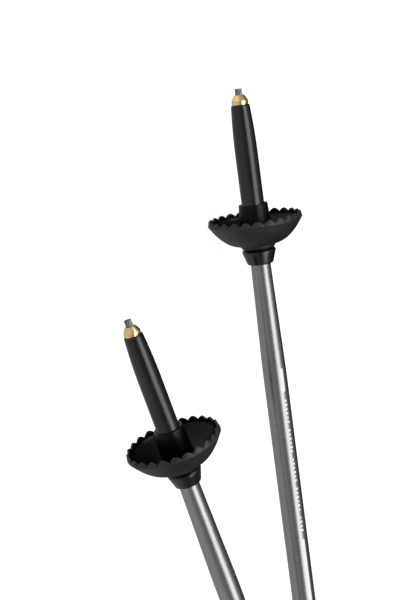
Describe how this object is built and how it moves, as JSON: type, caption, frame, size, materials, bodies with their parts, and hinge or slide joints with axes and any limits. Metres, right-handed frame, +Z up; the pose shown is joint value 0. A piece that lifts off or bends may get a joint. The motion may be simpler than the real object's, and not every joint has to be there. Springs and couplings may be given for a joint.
{
  "type": "trekking poles",
  "caption": "Pair of telescoping trekking poles with twist locks, scalloped cup baskets, hard-metal tips, foam grips and padded wrist straps, lying crossed.",
  "frame": {"origin": "middle of the pair's bounding box, on the ground plane that the poles lie on", "axes": "+X along the right pole's direction on the ground, towards its tip; +Z up, away from the ground; the left pole lies across the right one"},
  "size_m": [0.9508, 0.264, 0.0867],
  "materials": {
    "hard_metal": "ground hard metal, satin",
    "plated_steel": "yellow passivated zinc plating, slightly iridescent",
    "black_plastic": "moulded black, satin",
    "basket_plastic": "moulded black, fine matt texture",
    "tube": "satin grey anodised",
    "nylon": "natural nylon",
    "red_nylon": "red nylon",
    "steel": "zinc plated",
    "brass": "turned brass",
    "foam": "closed-cell foam, fine pores",
    "wedge_plastic": "moulded dark grey, satin",
    "webbing": "woven webbing with stitched end",
    "padding": "soft lined padding with bound edges"
  },
  "bodies": {
    "right_handle": {"right_upper_shaft": "tube", "right_upper_collar": "black_plastic", "right_grip": "foam", "right_grip_head": "black_plastic", "right_grip_ring": "black_plastic", "right_strap": "webbing", "right_strap_pad": "padding", "right_strap_pin": "steel"},
    "right_wedge": {"right_strap_wedge": "wedge_plastic"},
    "right_upper_lock": {"right_upper_expander": "red_nylon"},
    "right_upper_nut": {"right_upper_cone_nut": "brass"},
    "right_middle_section": {"right_middle_shaft": "tube", "right_middle_collar": "black_plastic", "right_middle_plug": "nylon", "right_middle_stud": "steel", "right_middle_stop_nut": "steel"},
    "right_lower_lock": {"right_lower_expander": "red_nylon"},
    "right_lower_nut": {"right_lower_cone_nut": "brass"},
    "right_lower_section": {"right_lower_shaft": "tube", "right_lower_plug": "nylon", "right_lower_stud": "steel", "right_lower_stop_nut": "steel", "right_tip_body": "black_plastic", "right_tip_collar": "plated_steel", "right_tip_insert": "hard_metal"},
    "right_screw_basket": {"right_basket": "basket_plastic"},
    "left_handle": {"left_upper_shaft": "tube", "left_upper_collar": "black_plastic", "left_grip": "foam", "left_grip_head": "black_plastic", "left_grip_ring": "black_plastic", "left_strap": "webbing", "left_strap_pad": "padding", "left_strap_pin": "steel"},
    "left_wedge": {"left_strap_wedge": "wedge_plastic"},
    "left_upper_lock": {"left_upper_expander": "red_nylon"},
    "left_upper_nut": {"left_upper_cone_nut": "brass"},
    "left_middle_section": {"left_middle_shaft": "tube", "left_middle_collar": "black_plastic", "left_middle_plug": "nylon", "left_middle_stud": "steel", "left_middle_stop_nut": "steel"},
    "left_lower_lock": {"left_lower_expander": "red_nylon"},
    "left_lower_nut": {"left_lower_cone_nut": "brass"},
    "left_lower_section": {"left_lower_shaft": "tube", "left_lower_plug": "nylon", "left_lower_stud": "steel", "left_lower_stop_nut": "steel", "left_tip_body": "black_plastic", "left_tip_collar": "plated_steel", "left_tip_insert": "hard_metal"},
    "left_screw_basket": {"left_basket": "basket_plastic"}
  },
  "joints": [
    {"name": "right_upper_slide", "type": "slide", "parent": "right_handle", "child": "right_upper_lock", "axis": [0.9999, 0, 0.0149], "range_m": [-0.018, 0.29]},
    {"name": "right_upper_twist", "type": "hinge", "parent": "right_upper_lock", "child": "right_middle_section", "pos_m": [-0.28458, 0.02256, 0.01747], "axis": [0.9999, 0, 0.0149], "range_deg": [0, 360]},
    {"name": "right_upper_nut_travel", "type": "slide", "parent": "right_upper_lock", "child": "right_upper_nut", "axis": [-0.9999, 0, -0.0149], "range_m": [0, 0.00101]},
    {"name": "right_lower_slide", "type": "slide", "parent": "right_middle_section", "child": "right_lower_lock", "axis": [0.9999, 0, 0.0149], "range_m": [-0.2, 0.09]},
    {"name": "right_lower_twist", "type": "hinge", "parent": "right_lower_lock", "child": "right_lower_section", "pos_m": [-0.02861, 0.02256, 0.02129], "axis": [0.9999, 0, 0.0149], "range_deg": [0, 360]},
    {"name": "right_lower_nut_travel", "type": "slide", "parent": "right_lower_lock", "child": "right_lower_nut", "axis": [-0.9999, 0, -0.0149], "range_m": [0, 0.00101]},
    {"name": "right_basket_screw", "type": "hinge", "parent": "right_lower_section", "child": "right_screw_basket", "pos_m": [0.39534, 0.02256, 0.0276], "axis": [0.9999, 0, 0.0149], "range_deg": [0, 360]},
    {"name": "right_wedge_slide", "type": "slide", "parent": "right_handle", "child": "right_wedge", "axis": [0, 1, 0], "range_m": [0, 0.01]},
    {"name": "left_lift", "type": "slide", "parent": "right_handle", "child": "left_handle", "axis": [0, 0, 1], "range_m": [0, 0.3]},
    {"name": "left_upper_slide", "type": "slide", "parent": "left_handle", "child": "left_upper_lock", "axis": [0.9713, 0.2316, 0.0551], "range_m": [-0.018, 0.29]},
    {"name": "left_upper_twist", "type": "hinge", "parent": "left_upper_lock", "child": "left_middle_section", "pos_m": [-0.37408, -0.05313, 0.02143], "axis": [0.9713, 0.2316, 0.0551], "range_deg": [0, 360]},
    {"name": "left_upper_nut_travel", "type": "slide", "parent": "left_upper_lock", "child": "left_upper_nut", "axis": [-0.9713, -0.2316, -0.0551], "range_m": [0, 0.00101]},
    {"name": "left_lower_slide", "type": "slide", "parent": "left_middle_section", "child": "left_lower_lock", "axis": [0.9713, 0.2316, 0.0551], "range_m": [-0.2, 0.09]},
    {"name": "left_lower_twist", "type": "hinge", "parent": "left_lower_lock", "child": "left_lower_section", "pos_m": [-0.12543, 0.00615, 0.03554], "axis": [0.9713, 0.2316, 0.0551], "range_deg": [0, 360]},
    {"name": "left_lower_nut_travel", "type": "slide", "parent": "left_lower_lock", "child": "left_lower_nut", "axis": [-0.9713, -0.2316, -0.0551], "range_m": [0, 0.00101]},
    {"name": "left_basket_screw", "type": "hinge", "parent": "left_lower_section", "child": "left_screw_basket", "pos_m": [0.28638, 0.10434, 0.05892], "axis": [0.9713, 0.2316, 0.0551], "range_deg": [0, 360]},
    {"name": "left_wedge_slide", "type": "slide", "parent": "left_handle", "child": "left_wedge", "axis": [0.2319, -0.9727, 0], "range_m": [0, 0.01]}
  ],
  "couplings": [
    {"joint": "right_upper_nut_travel", "follows": "right_upper_twist", "m_per_rad": 0.00015915},
    {"joint": "right_lower_nut_travel", "follows": "right_lower_twist", "m_per_rad": 0.00015915},
    {"joint": "left_upper_nut_travel", "follows": "left_upper_twist", "m_per_rad": 0.00015915},
    {"joint": "left_lower_nut_travel", "follows": "left_lower_twist", "m_per_rad": 0.00015915}
  ]
}
